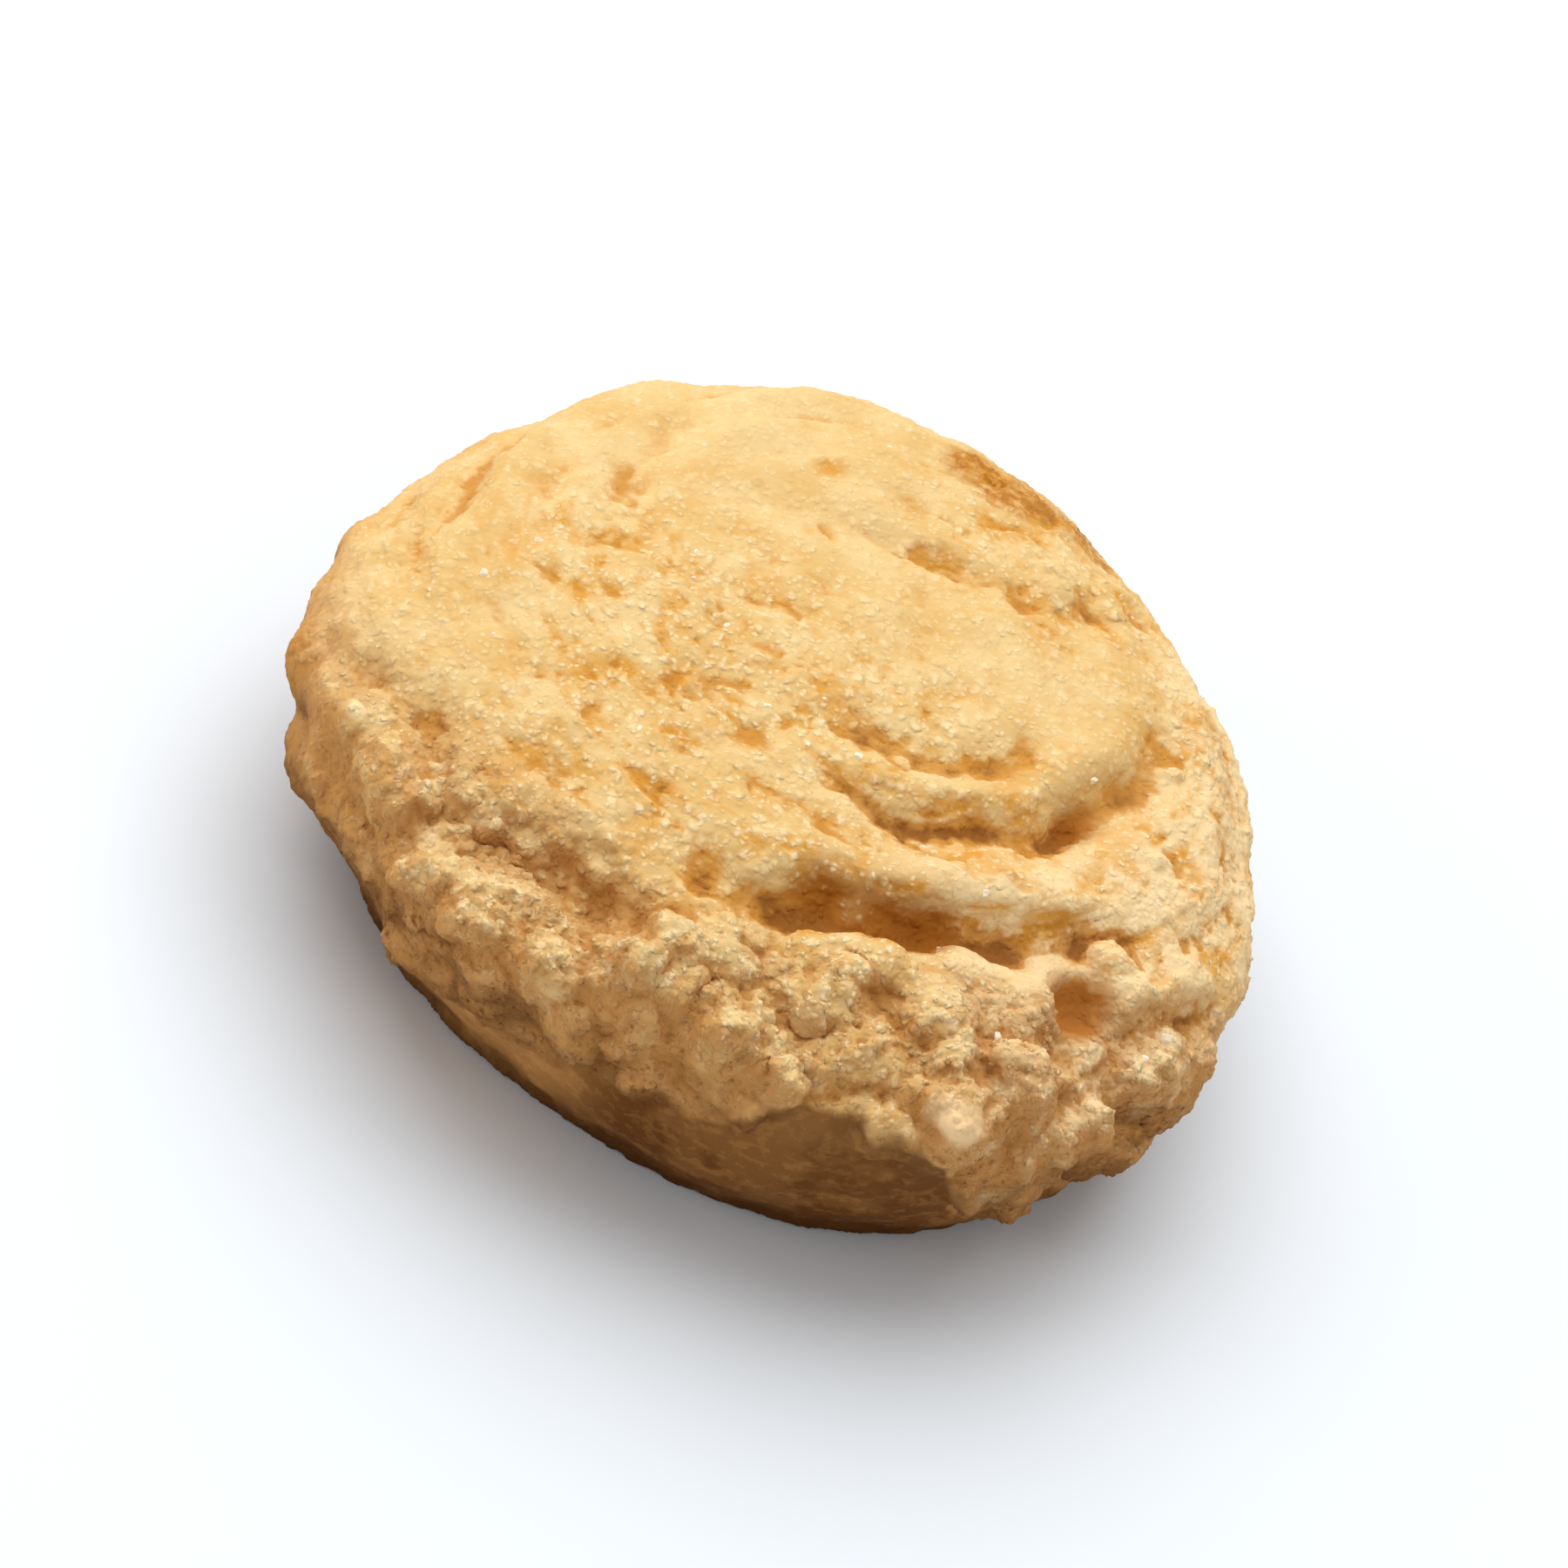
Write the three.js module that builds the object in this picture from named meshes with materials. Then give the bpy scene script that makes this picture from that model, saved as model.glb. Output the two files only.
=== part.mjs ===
// An amaretti cookie: a round almond biscuit that was piped in a swirl and baked on a flat tray.
// Units are millimetres. +Z is up, the base rests on z = 0, and the origin is under the cookie's middle.
// The side that faces -Y is the one with the deep terraces and the split lumps.
//
// The cookie is one solid. It starts as a ball of even triangles, whose points are carried to the cookie's
// outline and profile, and are then pushed in or out along the surface by its relief: the terraces of the
// piped swirl, the craggy shoulder, the crumb, a pit and a few bigger lumps.

import * as THREE from "three";
import { ImprovedNoise } from "three/addons/math/ImprovedNoise.js";
import { mergeVertices } from "three/addons/utils/BufferGeometryUtils.js";

// Driving dimensions
const RIM_RADIUS = 17.75; // the widest part, before the crags
const RIM_HEIGHT = 7.4; // of the widest part above the tray
const HEIGHT = 12.2; // to the top of the dome
const BASE_RADIUS = 14.5; // of the flat underside
const BASE_SHIFT = 0.7; // the dough spread more towards -X above its base
const CRAG_EDGE_HEIGHT = 4.4; // the crags end about here, and the smooth browned wall begins
const CRAG_STEP = 0.4; // how far the crags stand out over that wall
const CRAG_EDGE_BLEND = 1.8; // the height over which that step is taken
const BALL_DETAIL = 23; // 20 * (BALL_DETAIL + 1) ** 2 triangles

const DEGREE = Math.PI / 180;
const { clamp, euclideanModulo, lerp, smoothstep } = THREE.MathUtils;

// The outline from above is a circle with soft lobes: how many, how far they swell, and where one points
const LOBES = [
  { count: 2, swell: 0.22, towards: -42 },
  { count: 3, swell: 0.57, towards: 84 },
  { count: 4, swell: 0.15, towards: 30 },
];

// The terraces are arcs of grooves on the top. Each has a centre, a radius, the angles where it starts and
// ends, and the depth and half width of its groove. A negative depth makes a ridge.
const TERRACES = [
  { centre: [-1.6, 10.0], radius: 20.5, from: -98, to: -34, depth: 1.4, width: 1.0 },
  { centre: [1.2, 5.5], radius: 10.1, from: -106, to: 18, depth: 0.95, width: 0.8 },
  { centre: [1.2, 5.5], radius: 7.0, from: -110, to: -20, depth: 0.4, width: 0.7 },
  { centre: [2.3, 16.9], radius: 8.3, from: -128, to: -74, depth: 0.7, width: 0.65 },
  { centre: [2.3, 16.9], radius: 8.3, from: -80, to: -30, depth: 0.6, width: 0.6 },
  { centre: [5.0, 5.0], radius: 15.5, from: 112, to: 184, depth: 0.35, width: 0.7 },
  { centre: [10.0, 1.5], radius: 24.9, from: 156, to: 192, depth: 0.6, width: 0.6 },
  { centre: [10.0, 1.5], radius: 26.5, from: 162, to: 190, depth: 0.5, width: 0.5 },
  { centre: [0.8, 5.0], radius: 10.6, from: 110, to: 200, depth: 0.3, width: 0.7 },
  { centre: [0.0, 0.0], radius: 16.9, from: -136, to: -92, depth: -0.6, width: 0.9 },
  { centre: [-3.0, 4.0], radius: 17.4, from: -126, to: -84, depth: 0.5, width: 0.8 },
  { centre: [2.0, 3.0], radius: 13.2, from: -2, to: 76, depth: 0.5, width: 0.7 },
  { centre: [-1.0, 6.0], radius: 20.8, from: -62, to: -18, depth: 0.6, width: 0.7 },
  { centre: [0.5, 2.0], radius: 15.6, from: -30, to: 34, depth: 0.35, width: 0.6 },
];

// Each terrace grows to its full depth over this share of its arc, from either end
const TERRACE_TAPER_SHARE = 0.35;

// Single features that show on the front: where they are on the surface, how wide and how high
const PIT = { at: [12.7, -7.5, 10.2], radius: 1.9, height: -1.3 };
const HOLE = { at: [9.2, -0.8, 11.3], radius: 1.8, height: -0.7 };
const ALMOND_LUMP = { at: [10.3, -13.9, 8.9], radius: 1.9, height: 1.2 };
const FRONT_LUMPS = [
  { at: [-1.6, -15.4, 9.4], radius: 2.5, height: 0.8 },
  { at: [1.2, -15.3, 9.4], radius: 2.0, height: 0.7 },
  { at: [3.9, -15.6, 8.8], radius: 2.2, height: 0.8 },
  { at: [6.2, -13.6, 9.8], radius: 2.1, height: 0.6 },
  { at: [-4.0, -16.3, 8.2], radius: 2.0, height: 0.8 },
  { at: [-7.4, -15.2, 8.0], radius: 1.9, height: 0.7 },
  { at: [7.8, -11.5, 10.6], radius: 1.9, height: 0.5 },
  { at: [11.6, -11.4, 9.4], radius: 1.9, height: 0.6 },
  { at: [-3.2, -17.3, 6.4], radius: 1.7, height: 0.7 },
  { at: [-0.6, -17.2, 6.9], radius: 1.6, height: 0.6 },
];

// The lumps of the dough: how far apart, how high over their crevices, and which layer of randomness
const BIG_CRAGS = { size: 3.1, height: 2.1, layer: 1 };
const SMALL_CRAGS = { size: 1.9, height: 0.8, layer: 2 };
const CRAG_SINK = 0.3; // how far the crags as a whole lie inside the smooth skin
const TOP_LUMPS = { size: 2.3, height: 0.4, layer: 3 };
const WALL_LUMPS = { size: 2.6, height: 0.25, layer: 4 };

// Going outwards over the top, the crags begin at this share of the rim's radius, first at the back and then
// at the front, and have grown to their full height this far on. All round, lower crags lie below the brow.
const CRAG_START_SHARE = [0.98, 0.58];
const CRAG_START_BLEND = 4;
const BROW_HEIGHT = [6.5, 8.5];
const BROW_CRAG_SHARE = 0.6;
const FOOT_CRAG_HEIGHT = 2.5; // crags that reach down to the tray fade out below this height

// Soft swells: how far apart, how high, and which layer of randomness
const DOUGH_SWELL = { size: 9, height: 0.4, layer: 4 };
const CRAG_EDGE_SWELL = { size: 4, height: 1.6, layer: 1 };
const CRAG_START_SWELL = { size: 5, height: 1.5, layer: 6 };
const TERRACE_BEND_X = { size: 4.5, height: 0.9, layer: 2 };
const TERRACE_BEND_Y = { size: 4.5, height: 0.9, layer: 3 };

// How much lower the crags reach at some places round the side: towards an angle, and how wide in degrees
const CRAG_TONGUES = [
  { towards: -158, reach: 52, lower: 3.2 },
  { towards: -25, reach: 45, lower: 4.6 },
  { towards: 75, reach: 55, lower: 2.0 },
  { towards: -67, reach: 34, lower: -4.0 },
];

// The part of the ball's pole to pole angle that becomes the flat base, which needs few triangles. Points of
// the ball this close to its edge are moved onto it, so that the foot is an even line.
const BASE_ANGLE_SHARE = 0.22;
const FOOT_SNAP_SHARE = 0.0075;

const perlin = new ImprovedNoise();

// The turn from one angle to another in degrees, from -180 to 180
function turnBetween(start, end) {
  return euclideanModulo(end - start + 180, 360) - 180;
}

// Soft swells, from their height down to minus their height
function swells({ x, y, z }, { size, height, layer }) {
  return height * perlin.noise(x / size + layer * 7.3, y / size - layer * 3.1, z / size + layer * 5.7);
}

// A repeatable random number from 0 to 1 for a cell of space
function cellRandom(i, j, k, layer) {
  let state = Math.imul(i, 374761393) ^ Math.imul(j, 668265263) ^ Math.imul(k, 1442695041);
  state = Math.imul(state ^ (state >>> 13) ^ Math.imul(layer, 974634777), 1274126177);
  state = Math.imul(state ^ (state >>> 15), 668265263);
  return ((state ^ (state >>> 14)) >>> 0) / 4294967296;
}

// Round lumps side by side: they stand out by a third of their height, and their crevices go in by the rest
function lumps(point, { size, height, layer }) {
  const at = [point.x / size, point.y / size, point.z / size];
  const cell = at.map(Math.floor);
  let nearest = 1;
  for (let n = 0; n < 27; n++) {
    const i = cell[0] + (n % 3) - 1;
    const j = cell[1] + (Math.floor(n / 3) % 3) - 1;
    const k = cell[2] + Math.floor(n / 9) - 1;
    const x = i + cellRandom(i, j, k, 3 * layer) - at[0];
    const y = j + cellRandom(i, j, k, 3 * layer + 1) - at[1];
    const z = k + cellRandom(i, j, k, 3 * layer + 2) - at[2];
    nearest = Math.min(nearest, x * x + y * y + z * z);
  }
  return height * (0.33 - nearest);
}

// The cookie's skin from foot to dome, seen from the side: radius along x, height along y
function skinProfile() {
  const foot = new THREE.Vector2(BASE_RADIUS, 0);
  const rim = new THREE.Vector2(RIM_RADIUS, RIM_HEIGHT);
  const top = new THREE.Vector2(0, HEIGHT);
  const wallLow = new THREE.Vector2(BASE_RADIUS + 1.3, 1.6);
  const wallHigh = new THREE.Vector2(RIM_RADIUS, RIM_HEIGHT - 3);
  const shoulder = new THREE.Vector2(RIM_RADIUS, RIM_HEIGHT + 3);
  const brow = new THREE.Vector2(0.74 * RIM_RADIUS, HEIGHT);
  const skin = new THREE.CurvePath();
  skin.add(new THREE.CubicBezierCurve(foot, wallLow, wallHigh, rim));
  skin.add(new THREE.CubicBezierCurve(rim, shoulder, brow, top));
  return skin;
}

// How far the rim reaches at an angle, as a share of its mean radius
function outlineShare(angle) {
  const swell = LOBES.reduce(
    (sum, lobe) => sum + lobe.swell * Math.cos(lobe.count * (angle - lobe.towards * DEGREE)),
    0,
  );
  return 1 + swell / RIM_RADIUS;
}

const skin = skinProfile();

// The point of the smooth cookie at an angle and a share of the skin, from 0 at the foot to 1 at the top
function skinPoint(angle, share, target) {
  const at = skin.getPoint(clamp(share, 0, 1));
  const radius = at.x * outlineShare(angle);
  const lean = BASE_SHIFT * (1 - smoothstep(at.y, 0, RIM_HEIGHT));
  return target.set(radius * Math.cos(angle) + lean, radius * Math.sin(angle), at.y);
}

// The point of the smooth cookie that a point of the ball is carried to
function doughPoint(ball, target) {
  const angle = Math.atan2(ball.y, ball.x);
  const fromBottom = 1 - Math.acos(clamp(ball.z, -1, 1)) / Math.PI;
  if (Math.abs(fromBottom - BASE_ANGLE_SHARE) < FOOT_SNAP_SHARE) return skinPoint(angle, 0, target);
  if (fromBottom > BASE_ANGLE_SHARE) {
    return skinPoint(angle, (fromBottom - BASE_ANGLE_SHARE) / (1 - BASE_ANGLE_SHARE), target);
  }
  const radius = BASE_RADIUS * outlineShare(angle) * (fromBottom / BASE_ANGLE_SHARE);
  return target.set(radius * Math.cos(angle) + BASE_SHIFT, radius * Math.sin(angle), 0);
}

// A single lump, or a pit where its height is negative
function featureAt({ at, radius, height }, point) {
  const reach = point.distanceTo(at) / radius;
  return height * (1 - smoothstep(reach, 0.25, 1));
}

// The groove of one terrace at a point of the top, with a soft lip on its inner side
function terraceAt({ centre, radius, from, to, depth, width }, point) {
  const x = point.x - centre[0];
  const y = point.y - centre[1];
  const middle = (from + to) / 2;
  const angle = middle + turnBetween(middle, Math.atan2(y, x) / DEGREE);
  const taper = TERRACE_TAPER_SHARE * (to - from);
  const fade = smoothstep(angle, from, from + taper) * (1 - smoothstep(angle, to - taper, to));
  const out = Math.hypot(x, y) - radius;
  const groove = Math.exp(-((out / (out < 0 ? 0.7 * width : 1.3 * width)) ** 2));
  const lip = Math.exp(-(((out + 1.9 * width) / width) ** 2));
  return fade * depth * (0.35 * lip - groove);
}

const frontFeatures = [PIT, HOLE, ALMOND_LUMP, ...FRONT_LUMPS].map((one) => ({
  ...one,
  at: new THREE.Vector3(...one.at),
}));

// The height above the tray where the crags end, at the angle of a point
function cragEdgeHeight(point) {
  const angle = Math.atan2(point.y, point.x) / DEGREE;
  const lower = CRAG_TONGUES.reduce((sum, tongue) => {
    const away = Math.abs(turnBetween(tongue.towards, angle));
    return sum + tongue.lower * (1 - smoothstep(away, 0.3 * tongue.reach, tongue.reach));
  }, 0);
  return CRAG_EDGE_HEIGHT - lower + swells(point, CRAG_EDGE_SWELL);
}

// How far the surface stands out from the smooth cookie at a point, along its normal
function relief(point, normal) {
  const cragEdge = cragEdgeHeight(point);
  const overWall = smoothstep(point.z, cragEdge - CRAG_EDGE_BLEND / 2, cragEdge + CRAG_EDGE_BLEND / 2);
  const cragStart = RIM_RADIUS * lerp(...CRAG_START_SHARE, smoothstep(-point.y, 0, 0.8 * RIM_RADIUS));
  const fromMiddle = Math.hypot(point.x, point.y) + swells(point, CRAG_START_SWELL);
  const underBrow = BROW_CRAG_SHARE * (1 - smoothstep(point.z, ...BROW_HEIGHT));
  const outside = Math.max(underBrow, smoothstep(fromMiddle, cragStart, cragStart + CRAG_START_BLEND));
  const crag = overWall * outside * smoothstep(point.z, 0, FOOT_CRAG_HEIGHT);

  const bent = point.clone();
  bent.x += swells(point, TERRACE_BEND_X);
  bent.y += swells(point, TERRACE_BEND_Y);
  let height = swells(point, DOUGH_SWELL) + CRAG_STEP * (overWall - 1);
  height += smoothstep(normal.z, 0.3, 0.6) * TERRACES.reduce((sum, one) => sum + terraceAt(one, bent), 0);
  height += crag * (lumps(bent, BIG_CRAGS) + lumps(point, SMALL_CRAGS) - CRAG_SINK);
  height += (1 - outside) * lumps(point, TOP_LUMPS);
  height += (1 - overWall) * lumps(point, WALL_LUMPS);
  height += frontFeatures.reduce((sum, one) => sum + featureAt(one, point), 0);
  return height;
}

// The ball carried to the smooth cookie, with its relief, flat underneath and centred over the origin
function cookieGeometry() {
  const ball = new THREE.IcosahedronGeometry(1, BALL_DETAIL);
  ball.deleteAttribute("normal");
  ball.deleteAttribute("uv");
  const geometry = mergeVertices(ball, 1e-5);
  const position = geometry.getAttribute("position");
  const point = new THREE.Vector3();
  const normal = new THREE.Vector3();
  for (let i = 0; i < position.count; i++) {
    doughPoint(point.fromBufferAttribute(position, i), point);
    position.setXYZ(i, point.x, point.y, point.z);
  }
  geometry.computeVertexNormals();
  const normals = geometry.getAttribute("normal");
  for (let i = 0; i < position.count; i++) {
    point.fromBufferAttribute(position, i);
    normal.fromBufferAttribute(normals, i);
    if (point.z <= 0) continue;
    point.addScaledVector(normal, relief(point, normal));
    position.setXYZ(i, point.x, point.y, Math.max(0, point.z));
  }
  geometry.computeVertexNormals();
  geometry.computeBoundingBox();
  const middle = geometry.boundingBox.getCenter(new THREE.Vector3());
  return geometry.translate(-middle.x, -middle.y, 0);
}

const crumb = new THREE.MeshStandardMaterial({ color: new THREE.Color(0.86, 0.68, 0.41), roughness: 0.85 });
const cookie = new THREE.Mesh(cookieGeometry(), crumb);
cookie.name = "cookie";

const amaretti = new THREE.Group();
amaretti.add(cookie);

export default amaretti;
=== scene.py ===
# %% [markdown]
# # An amaretti cookie
# A small round almond biscuit is piped as a swirl of stiff dough and baked on a flat tray. It comes out
# pale gold and finely grained on top, lumpy and craggy round its shoulder, and smooth and brown where its
# wall leans in to the foot. The exact solid gives its size and main forms. Here it gets its crumb, its
# sugar and its bake.

# %% Load the solid
import math
from types import SimpleNamespace

import bpy
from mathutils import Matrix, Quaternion, Vector


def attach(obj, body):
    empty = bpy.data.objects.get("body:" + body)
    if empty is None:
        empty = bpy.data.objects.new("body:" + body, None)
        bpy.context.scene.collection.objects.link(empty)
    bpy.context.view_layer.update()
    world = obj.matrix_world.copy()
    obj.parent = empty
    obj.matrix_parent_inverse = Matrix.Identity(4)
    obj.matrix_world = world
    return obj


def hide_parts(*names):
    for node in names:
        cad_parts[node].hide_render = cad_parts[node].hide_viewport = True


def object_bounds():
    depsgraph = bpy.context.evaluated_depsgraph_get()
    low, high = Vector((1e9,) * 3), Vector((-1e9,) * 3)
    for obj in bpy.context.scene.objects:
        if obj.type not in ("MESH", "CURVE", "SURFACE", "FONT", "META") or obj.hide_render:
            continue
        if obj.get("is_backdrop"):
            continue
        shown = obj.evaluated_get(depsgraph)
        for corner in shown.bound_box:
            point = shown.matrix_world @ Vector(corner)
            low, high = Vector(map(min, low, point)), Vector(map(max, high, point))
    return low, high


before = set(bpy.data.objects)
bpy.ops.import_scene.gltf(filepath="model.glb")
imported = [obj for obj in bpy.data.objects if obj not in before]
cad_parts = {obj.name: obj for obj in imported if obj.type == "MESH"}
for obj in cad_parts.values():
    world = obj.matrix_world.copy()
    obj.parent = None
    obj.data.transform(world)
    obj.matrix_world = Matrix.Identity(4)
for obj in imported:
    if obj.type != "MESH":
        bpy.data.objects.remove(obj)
solid_low, solid_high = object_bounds()
MM = 0.001


def in_mm(sides):
    return [round(side / MM, 2) for side in sides]


print("solid, mm:", in_mm(solid_high - solid_low))

# %% [markdown]
# ## Sums on sockets
# The relief and the materials are both sums on positions, noises and masks. Adding each Math node by hand
# hides the sum, so a small class wraps a socket, and an ordinary expression on it adds the nodes. The
# same class serves geometry nodes and shader nodes, because both have the same Math, Noise and Map Range
# nodes.

# %% Sockets that can be used in sums
class Wire:
    """A number that flows out of a node. A sum on it adds Math nodes to its tree."""

    def __init__(self, tree, socket):
        self.tree = tree
        self.socket = socket

    def math(self, operation, *values):
        inputs = dict(enumerate(values))
        return add_node(self.tree, "ShaderNodeMath", {"operation": operation}, inputs)

    def __add__(self, other):
        return self.math("ADD", self, other)

    def __sub__(self, other):
        return self.math("SUBTRACT", self, other)

    def __rsub__(self, other):
        return self.math("SUBTRACT", other, self)

    def __mul__(self, other):
        return self.math("MULTIPLY", self, other)

    def __truediv__(self, other):
        return self.math("DIVIDE", self, other)

    def __pow__(self, power):
        return self.math("POWER", self, power)

    def __neg__(self):
        return self.math("MULTIPLY", self, -1)

    __radd__ = __add__
    __rmul__ = __mul__

    def rise(self, low, high):
        """0 below low, 1 above high, and a smooth slope between them. It falls where low is above high."""
        if low > high:
            return 1 - self.rise(high, low)
        ends = {"Value": self, "From Min": low, "From Max": high}
        return add_node(self.tree, "ShaderNodeMapRange", {"interpolation_type": "SMOOTHSTEP"}, ends)


def add_node(tree, kind, settings=None, inputs=None, output=0):
    """Adds a node with its settings, then fills its sockets with values or links, and returns one output."""
    node = tree.nodes.new(kind)
    for name, value in (settings or {}).items():
        setattr(node, name, value)
    for key, value in (inputs or {}).items():
        if isinstance(value, Wire):
            tree.links.new(value.socket, node.inputs[key])
        else:
            node.inputs[key].default_value = value
    return Wire(tree, node.outputs[output])


# %% Sums on places
def vector_math(operation, first, second, output=0):
    settings = {"operation": operation}
    return add_node(first.tree, "ShaderNodeVectorMath", settings, {0: first, 1: second}, output)


def scaled(vector, factor):
    settings = {"operation": "SCALE"}
    return add_node(vector.tree, "ShaderNodeVectorMath", settings, {0: vector, "Scale": factor})


def parts_of(vector):
    return [add_node(vector.tree, "ShaderNodeSeparateXYZ", {}, {0: vector}, axis) for axis in range(3)]


def point_of(x, y, z):
    tree = next(part.tree for part in (x, y, z) if isinstance(part, Wire))
    return add_node(tree, "ShaderNodeCombineXYZ", {}, {0: x, 1: y, 2: z})


def spot(point, centre, radius, softness=0.6):
    """1 inside a ball, fading to 0 at its radius."""
    return vector_math("DISTANCE", point, centre, "Value").rise(radius, radius * (1 - softness))


# %% Noises and cells
def noise(point, size, detail=2.0, roughness=0.5):
    """Soft noise from 0 to 1 round 0.5, with swells about size apart."""
    inputs = {"Vector": point, "Scale": 1 / size, "Detail": detail, "Roughness": roughness}
    return add_node(point.tree, "ShaderNodeTexNoise", {}, inputs)


def wandering(point, size, detail, reach):
    """A point moved about by soft noise, so that what is drawn there has crooked edges."""
    inputs = {"Vector": point, "Scale": 1 / size, "Detail": detail}
    wander = add_node(point.tree, "ShaderNodeTexNoise", {}, inputs, "Color")
    return vector_math("ADD", point, scaled(wander, reach))


def cells(point, size):
    """The distance to the middle of the nearest of many uneven cells, as a share of their size."""
    inputs = {"Vector": point, "Scale": 1 / size}
    return add_node(point.tree, "ShaderNodeTexVoronoi", {"feature": "F1"}, inputs)


def lumps(point, size):
    """Round lumps about size apart with sharp creases between them, in shares of their size round 0."""
    return 0.33 - cells(point, size) ** 2


# %% [markdown]
# ## The skin of the dough
# The solid has faces near a millimetre across, which is too coarse for crumb. A copy of it is welded,
# because the solid's triangles are loose, then cut finer and smoothed, which rounds its facets.

# %% Copy, weld, cut and smooth the skin
WELD_WITHIN = 0.01
EDGE_CUTS = 3
FACET_SMOOTHING_STEPS = 6

crust = bpy.data.objects.new("crust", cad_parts["cookie"].data.copy())
bpy.context.scene.collection.objects.link(crust)
bpy.ops.object.select_all(action="DESELECT")
crust.select_set(True)
bpy.context.view_layer.objects.active = crust
crust.data.materials.clear()
bpy.ops.mesh.customdata_custom_splitnormals_clear()
bpy.ops.object.mode_set(mode="EDIT")
bpy.ops.mesh.select_all(action="SELECT")
bpy.ops.mesh.remove_doubles(threshold=WELD_WITHIN * MM)
bpy.ops.mesh.subdivide(number_cuts=EDGE_CUTS)
bpy.ops.mesh.vertices_smooth(factor=0.5, repeat=FACET_SMOOTHING_STEPS)
bpy.ops.object.mode_set(mode="OBJECT")
bpy.ops.object.shade_smooth()
print("skin:", len(crust.data.polygons), "faces, mm:", in_mm(crust.dimensions))


# %% [markdown]
# ## Where each kind of surface lies
# Above its flat underside the cookie has three kinds of surface: the top with its swirl, the crags, and
# the smooth wall below them. Each is a mask from 0 to 1 that comes from the height and the side of the
# cookie, and soft noise makes its edge wander as a real one does. The relief and the colours both follow
# these masks.

# %% Sides of the cookie, seen from above
LEFT_RIM = 168
RIGHT_RIM = 6


def angle_gap(x, y, side):
    """The turn between a side of the cookie and a point, in degrees."""
    along = math.cos(math.radians(side))
    across = math.sin(math.radians(side))
    turn = x.math("ARCTAN2", y * along - x * across, x * along + y * across)
    return turn.math("ABSOLUTE", turn) * (180 / math.pi)


def near_side(x, y, side, reach):
    """1 within a reach in degrees of a side, fading out over half as much again."""
    return angle_gap(x, y, side).rise(1.5 * reach, reach)


# %% Masks of the crags, the top and the wall
CRAG_EDGE = 4.4
# Where the crags hang lower or end higher: the side, the degrees from it where that ends and where it is
# full, and how far their edge drops, in mm.
CRAG_TONGUES = [
    (-158, 52, 16, 3.2), (-22, 34, 24, 4.8), (75, 55, 16, 2.0), (-70, 34, 10, -2.2), (-66, 18, 6, -2.0),
]


def surface_masks(point):
    """The shares of crag, top and wall at a point of the skin."""
    x, y, z = parts_of(point)
    edge = CRAG_EDGE + 2.4 * (noise(point, 4) - 0.5) + 2.4 * (noise(point, 1.4) - 0.5)
    ragged = 18 * (noise(point, 2.2, 3) - 0.5)
    for side, end, full, drop in CRAG_TONGUES:
        edge = edge - drop * (angle_gap(x, y, side) + ragged).rise(end, full)
    over_wall = (z - edge).rise(-0.9, 0.9)
    from_middle = (x * x + y * y) ** 0.5 + 3 * (noise(point, 5) - 0.5)
    front = (-y).rise(0, 14.2)
    outer = (from_middle + 7.1 * front).rise(17.4, 21.4)
    outside = outer.math("MAXIMUM", outer, 0.6 * z.rise(8.5, 6.5))
    return over_wall * outside * z.rise(0, 2.5), over_wall * (1 - outside), 1 - over_wall


# %% The swirl, and how rough the top is
SWIRL_MIDDLE = (0.5, 4.5)
SWIRL_STRETCH = 4.5
BURNT_RIM = (5.5, 12, 10.5)


def swirl_point(point):
    """A point whose first two numbers turn round the swirl, and whose third is the way out and down."""
    x, y, z = parts_of(point)
    x = x - SWIRL_MIDDLE[0]
    y = y - SWIRL_MIDDLE[1]
    out = (x * x + y * y + 0.5) ** 0.5
    return point_of(x / out * SWIRL_STRETCH, y / out * SWIRL_STRETCH, out - z), out


def rough_share(point):
    """0 on the smooth far side of the top, rising to 1 towards the front and left, and at the right rim."""
    x, y = parts_of(point)[:2]
    front_left = (-0.3 * x - y + 4 * (noise(point, 5) - 0.5)).rise(-7, 1)
    left_rim = near_side(x, y, LEFT_RIM, 34) * (x * x + y * y).rise(80, 170)
    front_left = front_left * (1 - 0.7 * left_rim)
    rough = front_left.math("MAXIMUM", front_left, 0.9 * x.rise(8, 13))
    return rough.math("MAXIMUM", rough, 0.8 * spot(point, BURNT_RIM, 8))


# %% [markdown]
# ## Balls of dough
# The shoulder of the cookie is a heap of crumbly balls that baked together, from grains under a
# millimetre to lumps of three. A noise would only dent the skin, so dented balls are strewn over it by a
# seeded rule, each sunk more than half, and deeper at the back. The biggest lumps are placed one by one,
# and the two rims are swelled a little instead. A voxel remesh then melts balls and skin into one surface
# with true creases between them. Its grid leaves small steps, which a light smoothing takes away.

# %% Helpers for geometry nodes
def new_geometry_tree(name):
    tree = bpy.data.node_groups.new(name, "GeometryNodeTree")
    tree.interface.new_socket("Geometry", in_out="INPUT", socket_type="NodeSocketGeometry")
    tree.interface.new_socket("Geometry", in_out="OUTPUT", socket_type="NodeSocketGeometry")
    return tree, Wire(tree, tree.nodes.new("NodeGroupInput").outputs[0])


def finish_geometry_tree(tree, geometry, target):
    """Leads the geometry out of the tree, and applies the tree to an object as a modifier."""
    tree.links.new(geometry.socket, tree.nodes.new("NodeGroupOutput").inputs[0])
    modifier = target.modifiers.new(tree.name, "NODES")
    modifier.node_group = tree
    bpy.ops.object.select_all(action="DESELECT")
    target.select_set(True)
    bpy.context.view_layer.objects.active = target
    bpy.ops.object.modifier_apply(modifier=modifier.name)


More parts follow.
